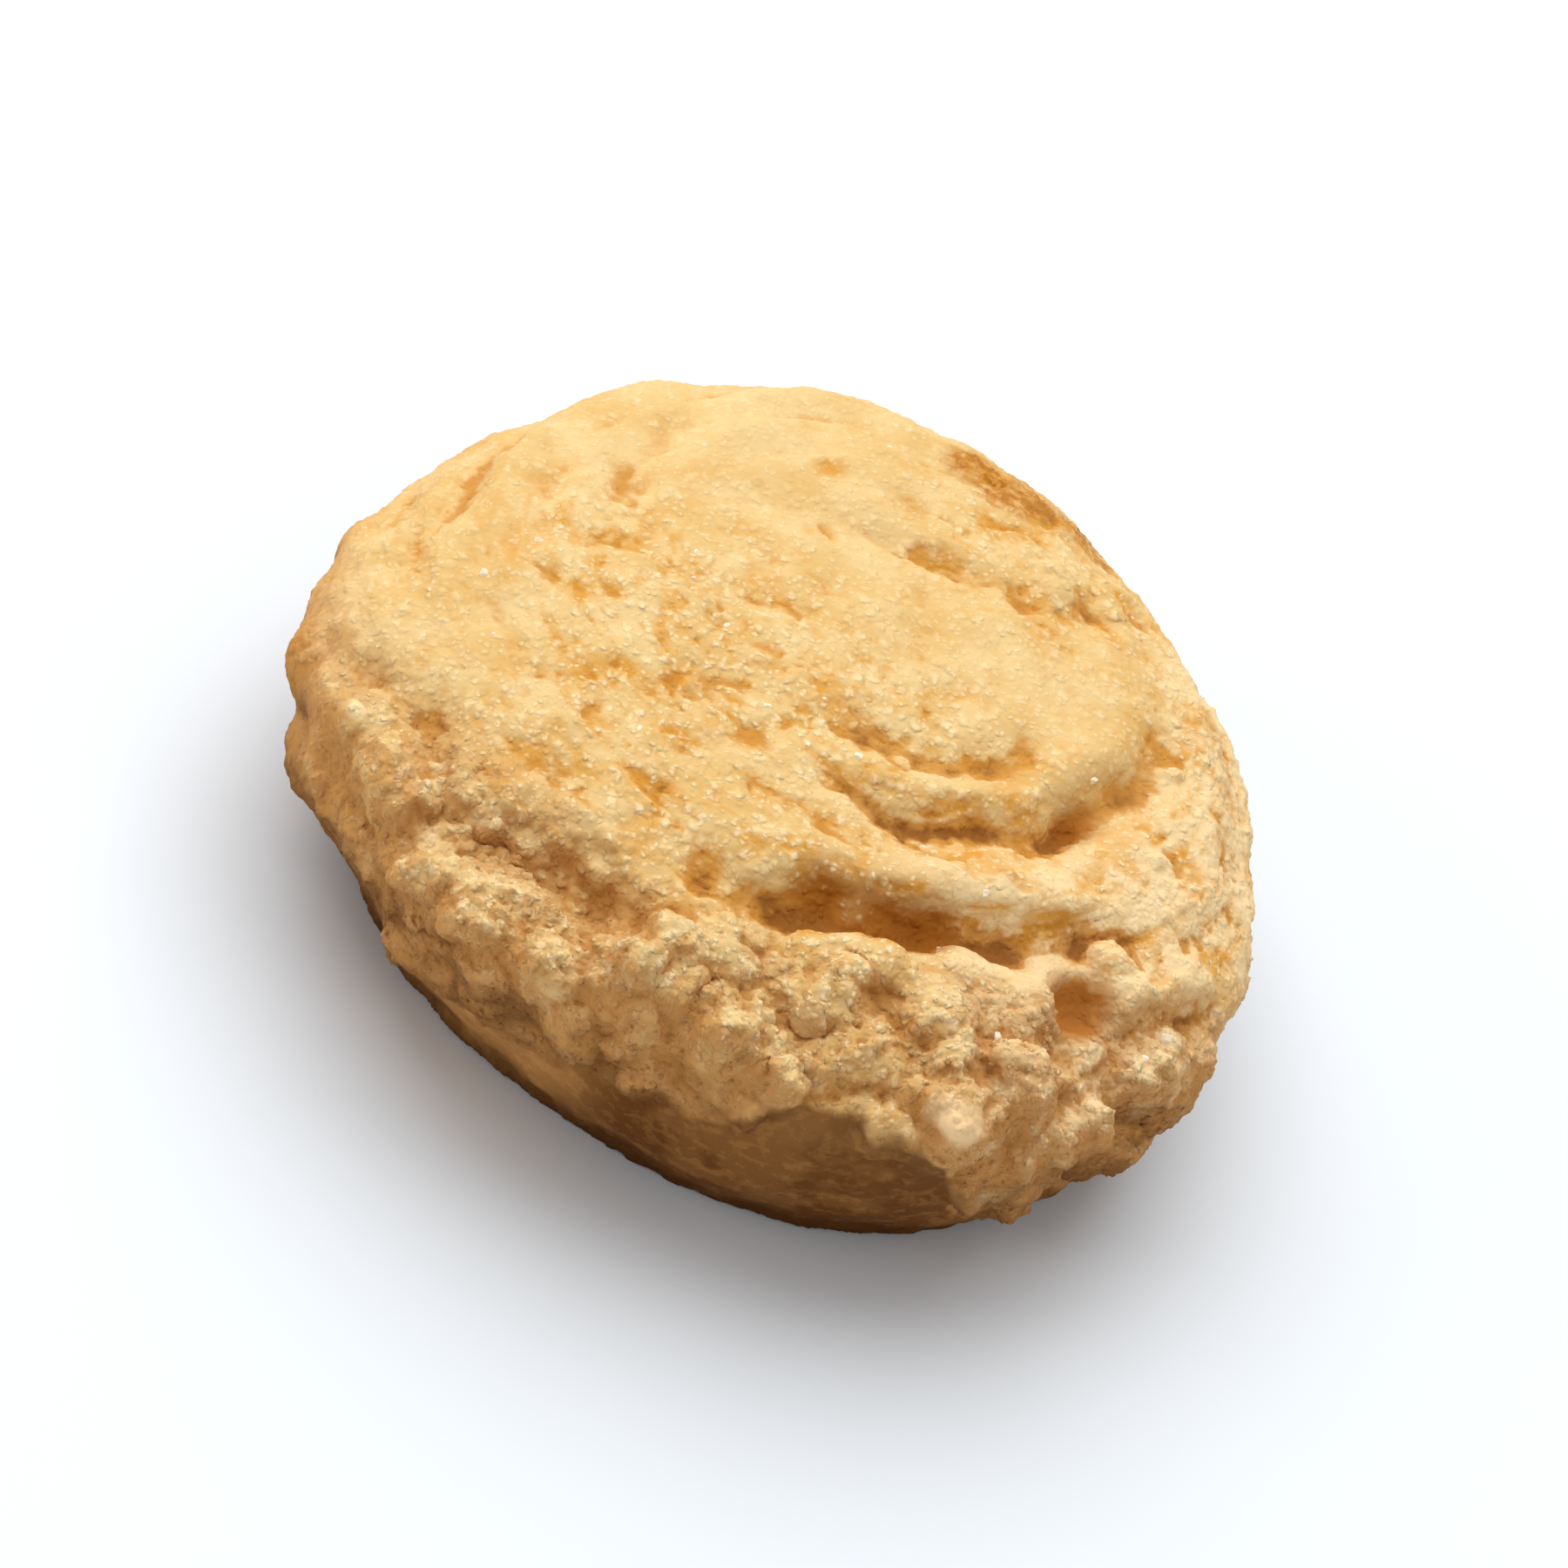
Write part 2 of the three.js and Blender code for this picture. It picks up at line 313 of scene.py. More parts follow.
def stored(tree, geometry, name, value):
    settings = {"data_type": "FLOAT", "domain": "POINT"}
    inputs = {0: geometry, "Name": name, "Value": value}
    return add_node(tree, "GeometryNodeStoreNamedAttribute", settings, inputs)


def moved(tree, geometry, offset):
    return add_node(tree, "GeometryNodeSetPosition", {}, {"Geometry": geometry, "Offset": offset})


def place_in_mm(tree):
    return scaled(add_node(tree, "GeometryNodeInputPosition"), 1 / MM)


def dented(tree, shape, size, depth):
    """A shape with its points pushed in and out by soft noise, all in millimetres."""
    outward = add_node(tree, "GeometryNodeInputNormal")
    push = scaled(outward, (noise(place_in_mm(tree), size, 2) - 0.5) * (depth * MM))
    return moved(tree, shape, push)


# %% Copies strewn over a skin
def random_number(tree, low, high, seed):
    inputs = {2: low, 3: high, "Seed": seed}
    return add_node(tree, "FunctionNodeRandomValue", {"data_type": "FLOAT"}, inputs, 1)


def strewn(tree, skin, shape, per_square_mm, sizes, sink, seed):
    """Copies of a shape over a skin, turned, made uneven, and sunk by a share of their size."""
    scatter = tree.nodes.new("GeometryNodeDistributePointsOnFaces")
    tree.links.new(skin.socket, scatter.inputs["Mesh"])
    tree.links.new((per_square_mm / MM ** 2).socket, scatter.inputs["Density"])
    scatter.inputs["Seed"].default_value = seed
    points = Wire(tree, scatter.outputs["Points"])
    size = random_number(tree, 0, 1, seed + 1) ** 2 * (sizes[1] - sizes[0]) + sizes[0]
    inward = scaled(Wire(tree, scatter.outputs["Normal"]), size * (-sink * MM))
    turns = {0: (0, 0, 0), 1: (2 * math.pi,) * 3, "Seed": seed + 2}
    turn = add_node(tree, "FunctionNodeRandomValue", {"data_type": "FLOAT_VECTOR"}, turns, 0)
    sides = point_of(*[size * random_number(tree, 0.7, 1.15, seed + axis) for axis in (11, 12, 13)])
    inputs = {"Points": moved(tree, points, inward), "Instance": shape, "Rotation": turn, "Scale": sides}
    return add_node(tree, "GeometryNodeInstanceOnPoints", {}, inputs)


# %% The almond, the pit and the biggest lumps
ALMOND = [(9.8, -15.7, 10.1), (10.6, -15.9, 10)]
PIT = (12.7, -8.2, 10.3)
# The outer end of each lump, and its width, in mm.
LUMPS = [
    (ALMOND[0], 1.4), (ALMOND[1], 1.5), ((-1.2, -15.5, 11), 2.6), ((-2, -16.5, 10.9), 2),
    ((-0.2, -15, 10.6), 2), ((1.1, -14.8, 10.5), 2), ((-3.2, -17.3, 8), 1.9), ((-1.2, -17.3, 7.8), 1.7),
    ((3.4, -12.6, 10.9), 1.9), ((4.7, -14, 10.4), 2), ((-9.1, -14.7, 4.4), 1), ((6.1, -12, 11.1), 1.8),
    ((9.6, -13.9, 10.3), 2), ((11.4, -12.9, 10.6), 1.6), ((14, -9.6, 9.2), 2.2), ((13.6, -5.9, 10.5), 1.6),
    ((-8.9, -15.3, 7.9), 1.8), ((-7.1, -15.6, 5.5), 1.7), ((1.9, -17.1, 10), 2), ((4.6, -17, 9), 1.8),
    ((8.8, -16.3, 8.5), 1.7), ((13.5, -13.5, 7.5), 1.8), ((11.9, -14.6, 6.3), 1.6), ((4.2, 11.7, 11.1), 2.2),
    ((6, 11.1, 11.2), 1.9), ((0.5, -14.8, 10.3), 2.4), ((7.9, 10.9, 10.6), 1.9), ((4.2, -14.5, 10.1), 2.2),
    ((5.2, 13.2, 10.6), 1.8), ((9.6, 9.4, 10.7), 1.6),
]
print("lumps placed one by one:", len(LUMPS))

# %% Sink the lumpy shoulder and swell the rims
# The left side, where the outline is calm: its crags get no balls and hardly a crumb.
CALM_LEFT = 172
CRAG_SINK = 0.2
RIM_SWELL = 0.3

tree, skin = new_geometry_tree("dough_balls")
place = place_in_mm(tree)
crag, top, wall = surface_masks(place)
x, y, z = parts_of(place)
lumpy = crag * (1 - near_side(x, y, CALM_LEFT, 40)) * (1 - 0.7 * near_side(x, y, RIGHT_RIM, 24))
lumpy = lumpy * z.rise(0.8, 2.4)
lumpy = lumpy * (1 - spot(place, PIT, 2.0, 0.4)) * (1 - spot(place, ALMOND[0], 1.9, 0.3))
rims = crag * z.rise(1, 3) * (near_side(x, y, LEFT_RIM, 34) + near_side(x, y, RIGHT_RIM, 30))
outward = add_node(tree, "GeometryNodeInputNormal")
skin = moved(tree, skin, scaled(outward, (rims * RIM_SWELL - lumpy * CRAG_SINK) * MM))

# %% Strew the balls
ball = add_node(tree, "GeometryNodeMeshIcoSphere", {}, {"Radius": 0.5 * MM, "Subdivisions": 3})
ball = dented(tree, ball, 0.4, 0.5)
heaps = noise(place, 3.5, 1).rise(0.4, 0.6)
behind = y.rise(2, 9)
under_edge = wall * (z + 2 * noise(place, 3)).rise(3.5, 6.5) * (0.12 + 0.88 * (-y).rise(-3, 5))
rough_top = top * rough_share(place) * (1 - near_side(x, y, LEFT_RIM, 40) * (-x).rise(7, 12))
heap = tree.nodes.new("GeometryNodeJoinGeometry")
tree.links.new(skin.socket, heap.inputs[0])
for per_square_mm, sizes, sink, seed in (
    (lumpy * 0.14, (1.8, 3.2), 0.36 + 0.12 * behind, 21),
    (lumpy * (0.35 + 0.9 * heaps), (0.8, 1.5), 0.28 + 0.2 * behind, 41),
    (lumpy * (0.3 + 1.5 * heaps), (0.4, 0.8), 0.2 + 0.2 * behind, 61),
    (rough_top * 0.25 * heaps, (0.8, 1.8), 0.4, 81),
    (under_edge * heaps * 0.8, (0.6, 1.2), 0.35, 101),
):
    balls = strewn(tree, skin, ball, per_square_mm, sizes, sink, seed)
    tree.links.new(add_node(tree, "GeometryNodeRealizeInstances", {}, {0: balls}).socket, heap.inputs[0])

# %% Add the biggest lumps
CORE = Vector((0, 0, 2))
LUMP_SINK = 0.42

lumps_apart = tree.nodes.new("GeometryNodeJoinGeometry")
for at, width in LUMPS:
    inward = (CORE - Vector(at)).normalized()
    centre = (Vector(at) + inward * width * LUMP_SINK) * MM
    lump = add_node(tree, "GeometryNodeMeshIcoSphere", {}, {"Radius": width / 2 * MM, "Subdivisions": 3})
    lump = add_node(tree, "GeometryNodeTransform", {}, {0: lump, "Translation": centre})
    tree.links.new(lump.socket, lumps_apart.inputs[0])
lumps_apart = dented(tree, Wire(tree, lumps_apart.outputs[0]), 1.2, 1.2)
tree.links.new(lumps_apart.socket, heap.inputs[0])
finish_geometry_tree(tree, Wire(tree, heap.outputs[0]), crust)
print("with balls:", len(crust.data.polygons), "faces")

# %% Melt them into one crust
FACE_SIZE = 0.12
GRID_SMOOTHING_STEPS = 5

crust.data.remesh_voxel_size = FACE_SIZE * MM
bpy.ops.object.voxel_remesh()
bpy.ops.object.mode_set(mode="EDIT")
bpy.ops.mesh.select_all(action="SELECT")
bpy.ops.mesh.vertices_smooth(factor=0.5, repeat=GRID_SMOOTHING_STEPS)
bpy.ops.mesh.quads_convert_to_tris()
bpy.ops.object.mode_set(mode="OBJECT")
bpy.ops.object.shade_smooth()
print("melted:", len(crust.data.polygons), "faces, mm:", in_mm(crust.dimensions))


# %% [markdown]
# ## The relief
# Seen close, the dough is grains of almond and sugar that baked together, and its top has short furrows
# that follow the swirl. A bump in the material would be lost on the outline, so all of it is real
# geometry: each point moves along its normal by a sum of cell and noise patterns, in millimetres. A few
# places of this one cookie are pressed in or filled up one by one, and the masks that the colours need are
# stored on the mesh.

# %% Pressed, filled and pitted places
# The place, the radius and the lift of each, in mm. A lift below 0 presses the dough in.
PRESSED_AND_FILLED = [
    ((-1.5, 8.9, 11.3), 1.5, 0.3), ((-0.4, 8, 10.9), 1.6, 0.35), ((1.1, 7.7, 11), 1.6, 0.35),
    ((2.7, 7.5, 11.4), 1.4, 0.25), ((6, 8.9, 10.9), 1.6, 0.5), ((8.5, 10.4, 10.5), 1.5, 0.4),
    ((4.6, -11, 10.7), 2.0, 0.6), ((8, -9.6, 10.4), 1.8, 0.45), ((6.3, -10.4, 10.6), 1.8, 0.3),
    ((10.8, -7.2, 10.2), 1.5, 0.3), ((11.5, -1, 10), 1.8, 0.25), ((3, -9.6, 11.2), 2.2, -0.3),
    ((4.8, -9.3, 11), 2.2, -0.35), ((6.6, -8.8, 10.6), 2.0, -0.3), (PIT, 1.7, -0.7),
    ((0.5, -14.8, 10.3), 1.6, 0.6), ((4.2, -14.5, 10.1), 1.6, 0.4), ((-13, -9.5, 9.4), 2.6, 0.45),
    ((-8.2, -13, 9.3), 3, 0.35),
]
# The place and the radius of each, in mm.
PITTED_SPOTS = [
    ((0.5, 8.3, 11.1), 1.3), ((2, 8.4, 11.3), 1.4), ((-3.5, 10.4, 11.5), 1.2), ((-2.6, 6.9, 11.8), 0.9),
    ((4.8, 13.6, 10.7), 1.6), ((2.9, 11.7, 11.3), 1.5), ((5.1, 8.7, 11.4), 1.4), ((7.3, 10.3, 10.9), 1.5),
]


def pitted(point):
    """Small groups of pits on the smooth far side of the top."""
    near = sum(spot(point, at, radius, 0.8) for at, radius in PITTED_SPOTS)
    return near * noise(point, 1.1, 2).rise(0.42, 0.62)


# %% Furrows, pits and arcs of the swirl
ARCS_SIDE = 155
ARC_SPACING = 2.2


def swirl_arcs(point, out):
    """Faint arcs that the piping nozzle left near the left rim."""
    x, y = parts_of(point)[:2]
    turns = out / ARC_SPACING + 0.7 * noise(point, 5)
    turns = turns.math("FRACT", turns)
    where = near_side(x, y, ARCS_SIDE, 44) * (x * x + y * y).rise(80, 150)
    return turns.rise(0, 0.8) * turns.rise(1, 0.8) * where


def swirl_marks(point, swirl):
    """Short furrows, small pits and thin flakes that follow the swirl."""
    furrows = noise(swirl, 0.9, 3, 0.6).rise(0.52, 0.66)
    pits = cells(swirl, 0.9).rise(0.3, 0.08) * noise(point, 3).rise(0.42, 0.58)
    flakes = noise(swirl, 0.4, 3, 0.6) - 0.5
    return furrows, pits, flakes


# %% The sum of the relief
def relief(point, facing_up):
    """The height of the dough over its skin in mm, and the shares of crag, wall and golden hollow."""
    x, y, z = parts_of(point)
    crag, top, wall = surface_masks(point)
    rough = rough_share(point)
    swirl, out = swirl_point(point)
    furrows, pits, flakes = swirl_marks(point, swirl)
    bent = wandering(point, 1.25, 3.0, 1.6)
    middling = lumps(bent, 1.3)
    beads = lumps(bent, 0.6)
    swells = noise(point, 2.6, 4, 0.55) - 0.5
    grit = noise(point, 0.42, 3, 0.65) - 0.5
    dents = noise(bent, 1.9, 2, 0.5).rise(0.52, 0.36)
    left_rim = near_side(x, y, LEFT_RIM, 34) * z.rise(3, 6)
    right_rim = near_side(x, y, RIGHT_RIM, 24) * z.rise(2, 5)
    outer_rim = (x * x + y * y).rise(170, 260) * z.rise(4, 7)

    crag_height = 0.2 * middling + 0.15 * beads + 0.5 * swells + (0.2 + 0.25 * facing_up) * grit
    crag_height = crag_height * (1 - 0.85 * spot(point, PIT, 2.1, 0.5))
    top_height = (0.03 + 0.12 * rough) * middling + (0.02 + 0.04 * rough) * beads + 0.3 * swells
    top_height = top_height + (0.05 + 0.09 * rough) * grit
    top_height = top_height - rough * (0.06 * furrows + 0.06 * pits + 0.1 * dents)
    wall_height = 0.2 * swells + 0.1 * grit + 0.05 * middling
    height = crag * (1 - 0.6 * left_rim) * crag_height + top * top_height + wall * wall_height
    height = height + 0.16 * swirl_arcs(point, out) + 0.22 * outer_rim * (1 - wall) * grit
    height = height + (0.08 * left_rim + 0.25 * right_rim) * out.rise(10, 14) * flakes
    height = height - 0.15 * pitted(point)
    for at, radius, lift in PRESSED_AND_FILLED:
        height = height + lift * spot(point, at, radius, 1.0)
    # Golden in the furrows, pits and dents: partly the bake, partly painted shade in these hollows.
    golden = top * rough * (0.7 * furrows + 0.6 * pits + 0.8 * dents) + 0.9 * pitted(point)
    return height, crag, wall, golden


# %% Level the underside and raise the relief
LEVEL_BASE_BELOW = 0.1
FOOT_RAGGEDNESS = 0.7
PORE_DEPTH = 0.25

tree, skin = new_geometry_tree("dough_relief")
height = parts_of(add_node(tree, "GeometryNodeInputPosition"))[2]
level = height.math("LESS_THAN", height, LEVEL_BASE_BELOW * MM)
skin = moved(tree, skin, point_of(0.0, 0.0, -height * level))
point = place_in_mm(tree)
above_base = parts_of(point)[2]
normal = add_node(tree, "GeometryNodeInputNormal")
x, y, z = parts_of(normal)
height, crag, wall, golden = relief(point, z.rise(0.2, 0.8))
for name, share in (("crag", crag), ("wall", wall), ("golden", golden), ("rough", rough_share(point))):
    skin = stored(tree, skin, name, share)
ragged = (noise(point, 1.1, 3, 0.6) - 0.5) * above_base.rise(2.0, 0.5)
skin = moved(tree, skin, scaled(point_of(x, y, 0.0), FOOT_RAGGEDNESS * ragged * MM))
over_foot = above_base.rise(0.05, 0.6)
skin = moved(tree, skin, scaled(normal, height * over_foot * MM))
pores = (0.32 - cells(point, 1.1)).rise(0.1, 0.3)
skin = moved(tree, skin, point_of(0.0, 0.0, (1 - over_foot) * pores * PORE_DEPTH * MM))
finish_geometry_tree(tree, skin, crust)
print("relief, mm:", in_mm(crust.dimensions))

# %% [markdown]
# ## Hollows
# Grooves, cracks and pits are coloured deep orange and brown, partly the orange of the bake and partly
# painted shade. What stands out stays pale, and paler still where it faces up, as painted light, and slopes
# are painted tan as painted shade. To colour them, each point stores how deep it lies below the average of
# its neighbourhood, once for the wide forms and once for the fine grain, and how much the surface round it
# faces up. The renderer's own ambient occlusion finds hollows too, but it is slow, and it darkens wide forms
# and fine grain alike.

# %% Store how deep each point lies and how it faces
HOLLOW_STEPS = {"hollow": 110, "fine_hollow": 10}
FACING_STEPS = 8


def blurred(tree, vector, steps):
    """A vector averaged with those of the points round it, that many steps out."""
    inputs = {"Value": vector, "Iterations": steps}
    return add_node(tree, "GeometryNodeBlurAttribute", {"data_type": "FLOAT_VECTOR"}, inputs)


tree, skin = new_geometry_tree("hollows")
position = add_node(tree, "GeometryNodeInputPosition")
normal = add_node(tree, "GeometryNodeInputNormal")
for name, steps in HOLLOW_STEPS.items():
    below = vector_math("SUBTRACT", blurred(tree, position, steps), position)
    depth = vector_math("DOT_PRODUCT", below, normal, "Value")
    skin = stored(tree, skin, name, depth / MM)
skin = stored(tree, skin, "facing_up", parts_of(blurred(tree, normal, FACING_STEPS))[2])
finish_geometry_tree(tree, skin, crust)

# %% Measure the hollows
def spread_of(name):
    """The least, a low, the middle, a high and the greatest value of an attribute of the crust."""
    values = sorted(item.value for item in crust.data.attributes[name].data)
    return [round(values[int(share * (len(values) - 1))], 3) for share in (0, 0.1, 0.5, 0.9, 1)]


for name in HOLLOW_STEPS:
    print(name, "in mm:", spread_of(name))
print("facing up, from -1 to 1:", spread_of("facing_up"))

# %% [markdown]
# ## Thin out the flat parts
# The underside and the smooth wall need far fewer faces than the crags. Collapsing edges where the
# surface bends least keeps the crumb sharp, and brings the mesh to a size that other programs can open
# with ease.

# %% Collapse edges where the crust is flat
MOST_TRIANGLES = 196000

thinning = crust.modifiers.new("thinning", "DECIMATE")
thinning.ratio = MOST_TRIANGLES / len(crust.data.polygons)
bpy.ops.object.modifier_apply(modifier=thinning.name)
print("crust:", len(crust.data.polygons), "triangles,", [item.name for item in crust.data.attributes])


# %% [markdown]
# ## Loose crumb and sugar
# Single grains stand out from the crags and sparkle on the top. A grain is modelled once, as a ball with
# its points pulled about for almond and as a bevelled cube for sugar. Geometry nodes then strew copies
# over the crust by a seeded rule, turn and size each one, and make them real mesh. A particle system
# would be lost on export.

# %% Model one crumb and one crystal
def model_crumb():
    bpy.ops.object.select_all(action="DESELECT")
    bpy.ops.mesh.primitive_ico_sphere_add(subdivisions=1, radius=0.5 * MM)
    crumb = bpy.context.active_object
    bpy.ops.object.mode_set(mode="EDIT")
    bpy.ops.mesh.select_all(action="SELECT")
    bpy.ops.transform.vertex_random(offset=0.2 * MM, seed=5)
    bpy.ops.object.mode_set(mode="OBJECT")
    bpy.ops.object.shade_smooth()
    return crumb


def model_crystal():
    bpy.ops.object.select_all(action="DESELECT")
    bpy.ops.mesh.primitive_cube_add(size=0.8 * MM)
    crystal = bpy.context.active_object
    bpy.ops.object.mode_set(mode="EDIT")
    bpy.ops.mesh.select_all(action="SELECT")
    bpy.ops.mesh.bevel(offset=0.2 * MM, segments=1)
    bpy.ops.transform.vertex_random(offset=0.08 * MM, seed=2)
    bpy.ops.transform.resize(value=(1, 0.8, 0.7))
    bpy.ops.object.mode_set(mode="OBJECT")
    return crystal


# %% Where they lie
def named(tree, name):
    return add_node(tree, "GeometryNodeInputNamedAttribute", {"data_type": "FLOAT"}, {"Name": name})


def crumb_share(place):
    """Most on what stands out of the crags, in patches, and hardly any on the top."""
    x, y, z = parts_of(place)
    patches = noise(place, 1.8).rise(0.38, 0.62)
    raised = (-named(place.tree, "hollow")).rise(-0.15, 0.05)
    zone = 0.015 * rough_share(place) + named(place.tree, "crag") * (1 - near_side(x, y, CALM_LEFT, 42))
    for at, radius in ((ALMOND[0], 1.4), (ALMOND[1], 1.4), (PIT, 1.7)):
        zone = zone * (1 - spot(place, at, radius))
    return zone * (0.15 + 0.85 * patches) * raised * z.rise(1, 3)


def sugar_share(place):
    """Most on the left half of the top, in patches, and none below it."""
    lower_left = spot(place, (-5, -3, 12), 11, 0.9)
    patches = noise(place, 2.4).rise(0.45, 0.62)
    return (0.06 + 0.94 * lower_left) * patches * parts_of(place)[2].rise(8.5, 10)


# %% Strew them over the crust
def strew(name, grain, per_square_mm, share, sizes, sink, seed):
    """A piece of grains over the crust. share is a function from the place to how many of them lie there."""
    piece = bpy.data.objects.new(name, crust.data.copy())
    bpy.context.scene.collection.objects.link(piece)
    tree, skin = new_geometry_tree(name)
    shape = add_node(tree, "GeometryNodeObjectInfo", {}, {"Object": grain}, "Geometry")
    copies = strewn(tree, skin, shape, share(place_in_mm(tree)) * per_square_mm, sizes, sink, seed)
    settings = {"data_type": "FLOAT", "domain": "INSTANCE"}
    inputs = {0: copies, "Name": "tone", "Value": random_number(tree, 0.2, 1, seed + 3)}
    copies = add_node(tree, "GeometryNodeStoreNamedAttribute", settings, inputs)
    finish_geometry_tree(tree, add_node(tree, "GeometryNodeRealizeInstances", {}, {0: copies}), piece)
    bpy.data.objects.remove(grain)
    print(name, len(piece.data.polygons), "faces")
    return piece


crumbs = strew("crumbs", model_crumb(), 12, crumb_share, sizes=(0.2, 0.5), sink=0.3, seed=3)
sugar = strew("sugar", model_crystal(), 0.5, sugar_share, sizes=(0.15, 0.8), sink=0.25, seed=7)

# %% [markdown]
# ## The baked finish
# Almond dough is pale gold where it stands out, orange in its hollows, and brown where the tray toasted
# it. Part of this colour is painted light and shade: tan slopes, orange and brown hollows, brown on all that
# faces down, pale grains that face up, a paler right rim and a paler wall at the front left. It is dull, so
# the shader's shine is turned far down. One colour and a bump would look like clay, so the colour is laid on
# in steps, each a blend towards a new colour by a mask: first the top, then the crags, the wall, and the few
# marks. The masks come from the stored attributes, the height, and noises and grains in space.

# %% Helpers for materials
def display(red, green, blue):
    """A colour as a screen shows it, from 0 to 255, in the linear values that a shader takes."""
    shares = [value / 255 for value in (red, green, blue)]
    linear = [v / 12.92 if v <= 0.04045 else ((v + 0.055) / 1.055) ** 2.4 for v in shares]
    return (*linear, 1.0)


def blend_colours(factor, first, second):
    settings = {"data_type": "RGBA", "clamp_factor": True}
    return add_node(factor.tree, "ShaderNodeMix", settings, {0: factor, 6: first, 7: second}, 2)


def new_material(name, **constants):
    """A material with a Principled shader, its constant values set on the shader's own sockets."""
    material = bpy.data.materials.new(name)
    material.use_nodes = True
    shader = next(node for node in material.node_tree.nodes if node.type == "BSDF_PRINCIPLED")
    for socket, value in constants.items():
        shader.inputs[socket.replace("_", " ")].default_value = value
    return material, material.node_tree, shader


def attribute(tree, name):
    return add_node(tree, "ShaderNodeAttribute", {"attribute_name": name}, {}, "Fac")


def object_point(tree):
    return scaled(add_node(tree, "ShaderNodeTexCoord", {}, {}, "Object"), 1 / MM)


# %% What the bake follows
def grains(point, size):
    """How near the middle of a soft round grain a point lies, and that grain's own random number."""
    away = cells(point, size)
    own = parts_of(Wire(point.tree, away.socket.node.outputs["Color"]))[0]
    return away.rise(0.6, 0.1), own


def surface_here(tree):
    """The place, and the stored shares, hollows, noises and grains there."""
    here = SimpleNamespace(point=object_point(tree))
    here.x, here.y, here.z = parts_of(here.point)
    for name in ("crag", "wall", "rough", "golden", "hollow", "fine_hollow", "facing_up", "tone"):
        setattr(here, name, attribute(tree, name))
    here.top = 1 - here.crag.math("MAXIMUM", here.crag, here.wall)
    here.mottle = noise(here.point, 3.0, 3, 0.6)
    here.specks = noise(here.point, 0.7, 3, 0.7)
    here.baked_height = here.z + 1.5 * (here.mottle - 0.5)
    swirl, here.out = swirl_point(here.point)
    here.dashes = noise(swirl, 1.0, 3, 0.6)
    bent = wandering(here.point, 0.4, 1.0, 0.25)
    here.clump, here.clump_own = grains(bent, 0.9)
    here.grain, here.grain_own = grains(bent, 0.5)
    here.small_grain, here.small_own = grains(bent, 0.27)
    here.in_pit = spot(here.point, PIT, 1.9, 0.6)
    here.almond = 0.6 * spot(here.point, ALMOND[0], 0.9, 0.6) + spot(here.point, ALMOND[1], 1.05, 0.5)
    return here


# %% [markdown]
# ### The top
# The top is pale, with soft clouds of gold, and turns tan and brown down the side, partly the bake and
# partly painted shade. The dimples that follow the swirl are golden, partly the bake and partly painted
# shade, and the right rim is painted palest, as painted light from the right.

# %% Colour of the top
PALE = display(239, 212, 155)
GOLD = display(223, 180, 108)
# Paler colour for the right rim: painted light from the right.
LIT_RIM_PALE = display(246, 217, 166)
# Tan and brown for lower down the side: partly the bake, partly painted shade.
CRAG_TAN = display(228, 170, 104)
BAKED_BROWN = display(160, 104, 52)
FLECK_GOLD = display(220, 160, 70)
LIT_RIM_SIDE = 0


def top_colour(here):
    """Pale gold, browner down the side (bake and painted shade), a painted-lit right rim, golden flecks."""
    colour = blend_colours(here.mottle.rise(0.3, 0.7) * 0.6 + 0.2, PALE, GOLD)
    # Tan and then brown lower down: partly the bake, partly painted shade on the lower side.
    colour = blend_colours(here.baked_height.rise(10, 6.5) * 0.8, colour, CRAG_TAN)
    # Painted light: the right rim is painted paler, as if lit more from the right.
    lit_rim = near_side(here.x, here.y, LIT_RIM_SIDE, 42) * here.out.rise(10, 14) * here.z.rise(3, 6)
    colour = blend_colours(lit_rim * 0.9, colour, LIT_RIM_PALE)
    colour = blend_colours(here.baked_height.rise(7.6, 3.4) * 0.7, colour, BAKED_BROWN)
    flecks = here.dashes.rise(0.52, 0.62) * here.specks.rise(0.36, 0.5)
    flecks = flecks + 0.3 * here.grain * here.grain_own.rise(0.3, 0.15)
    # The golden dimples are partly the bake and partly painted shade in the hollows.
    flecks = flecks * (0.18 + 0.26 * here.rough) * (1 - 0.8 * here.wall) + 0.85 * here.golden
    return blend_colours(flecks, colour, FLECK_GOLD)


# %% [markdown]
# ### The crags, hollows and grains
# On the crags the slopes are painted tan as painted shade, and whole clumps are a little browner or paler
# than the next one. Hollows are orange on the top and tan in the crags, partly the bake and partly painted
# shade, and the deepest are painted brown as painted shade. Grains are pale at random, and those that stand
# out and face up are painted paler still as painted light, which makes the crumb look sharp.

# %% Colour of the crags, hollows and grains
# Tan for slopes painted in shade, for browner clumps, for the wall's flecks and its painted-light side.
SLOPE_TAN = display(198, 142, 80)
FURROW_ORANGE = display(204, 140, 56)
VALLEY_TAN = display(196, 139, 75)
DEEP_SHADE_BROWN = display(140, 84, 34)
GROOVE_BROWN = display(172, 105, 32)
GRAIN_PALE = display(252, 224, 172)
# The bottoms of the grooves, painted orange-brown, partly the bake and partly painted shade. The place and
# the radius of each, in mm.
GROOVE_BOTTOMS = [
    ((2.7, -9.4, 11.2), 1.9), ((4.8, -9.1, 11), 2.4), ((6.8, -8.6, 10.6), 1.9), ((10, -0.4, 10.3), 1.6),
]


